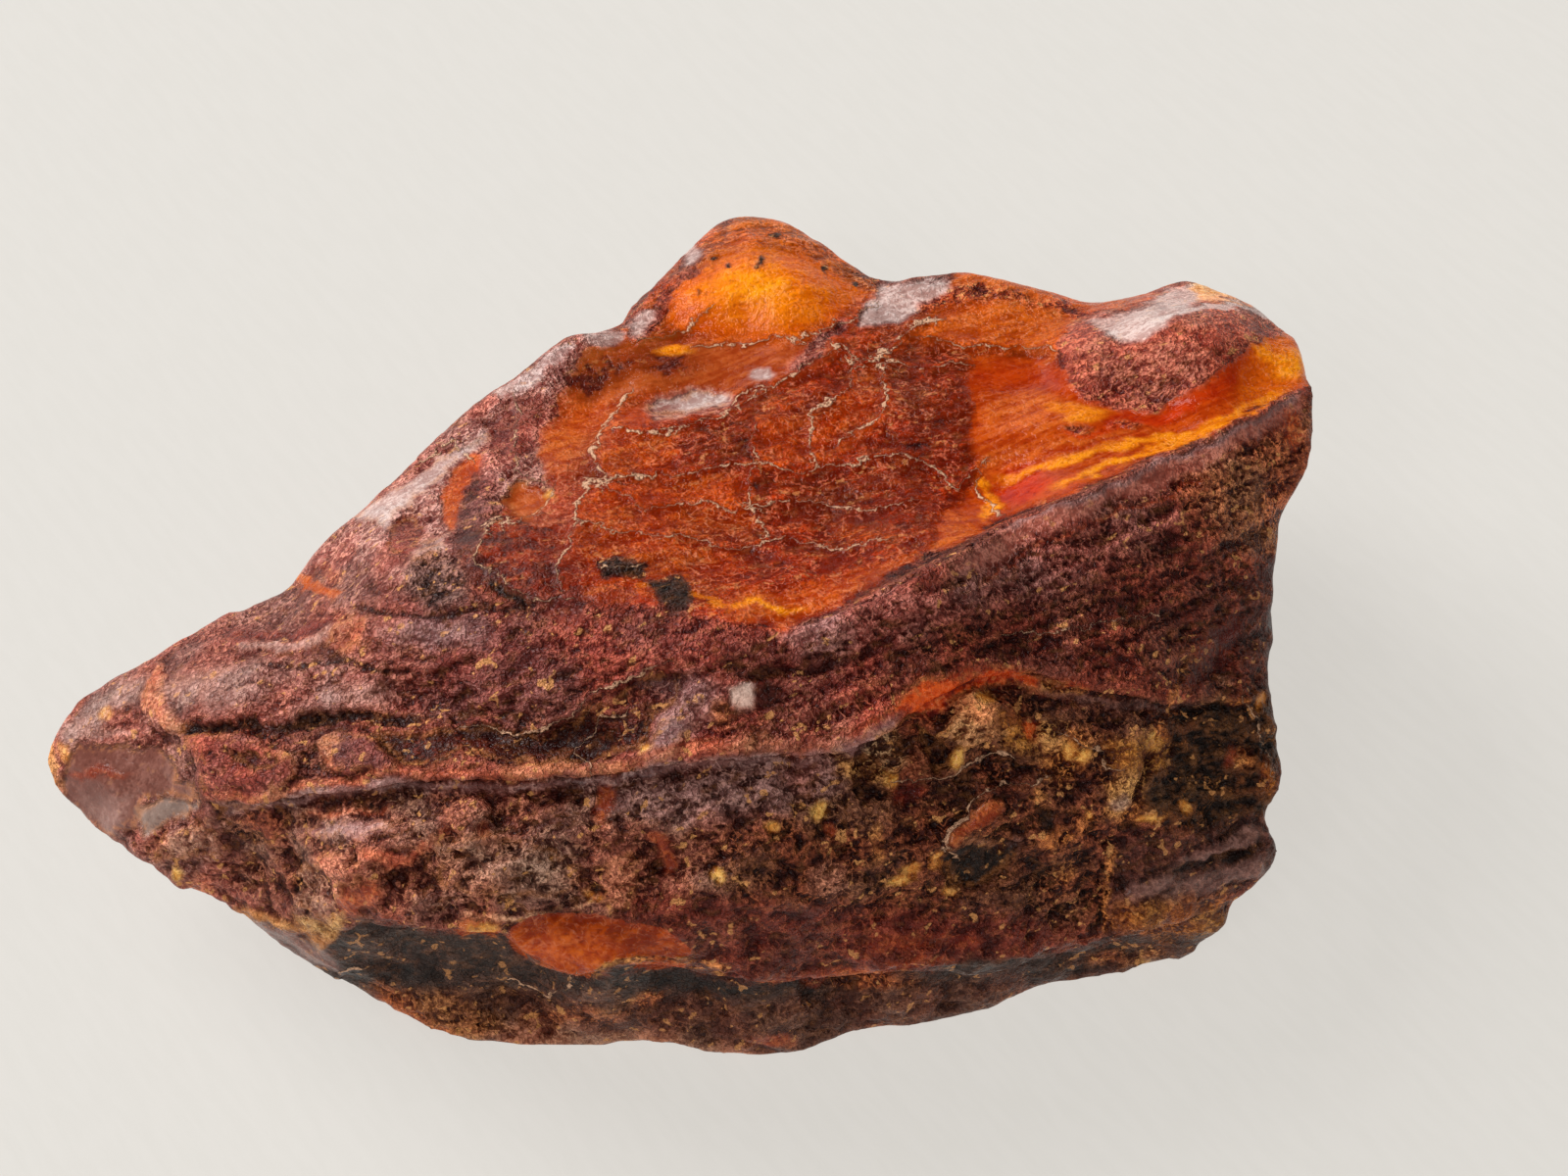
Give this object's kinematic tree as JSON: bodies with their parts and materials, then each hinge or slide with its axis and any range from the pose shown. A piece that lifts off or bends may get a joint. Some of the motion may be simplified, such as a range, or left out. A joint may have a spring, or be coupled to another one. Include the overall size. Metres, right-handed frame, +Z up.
{
  "type": "raw amber nugget",
  "caption": "Rough lump of natural amber: a wedge with a pointed snout, a clear broken hollow on top, crusted ledges below it and a flat patch underneath to rest on.",
  "frame": {"origin": "middle of the bounding box's foot, on the surface that the nugget rests on", "axes": "+X along the nugget's length, away from its pointed snout, +Z up; the crusted ledges face -Y"},
  "size_m": [0.1104, 0.0818, 0.0394],
  "materials": {
    "amber": "clear orange to red amber under a dark maroon-brown weathered crust with tan cracks"
  },
  "bodies": {
    "root": {"amber_nugget": "amber"}
  },
  "joints": []
}
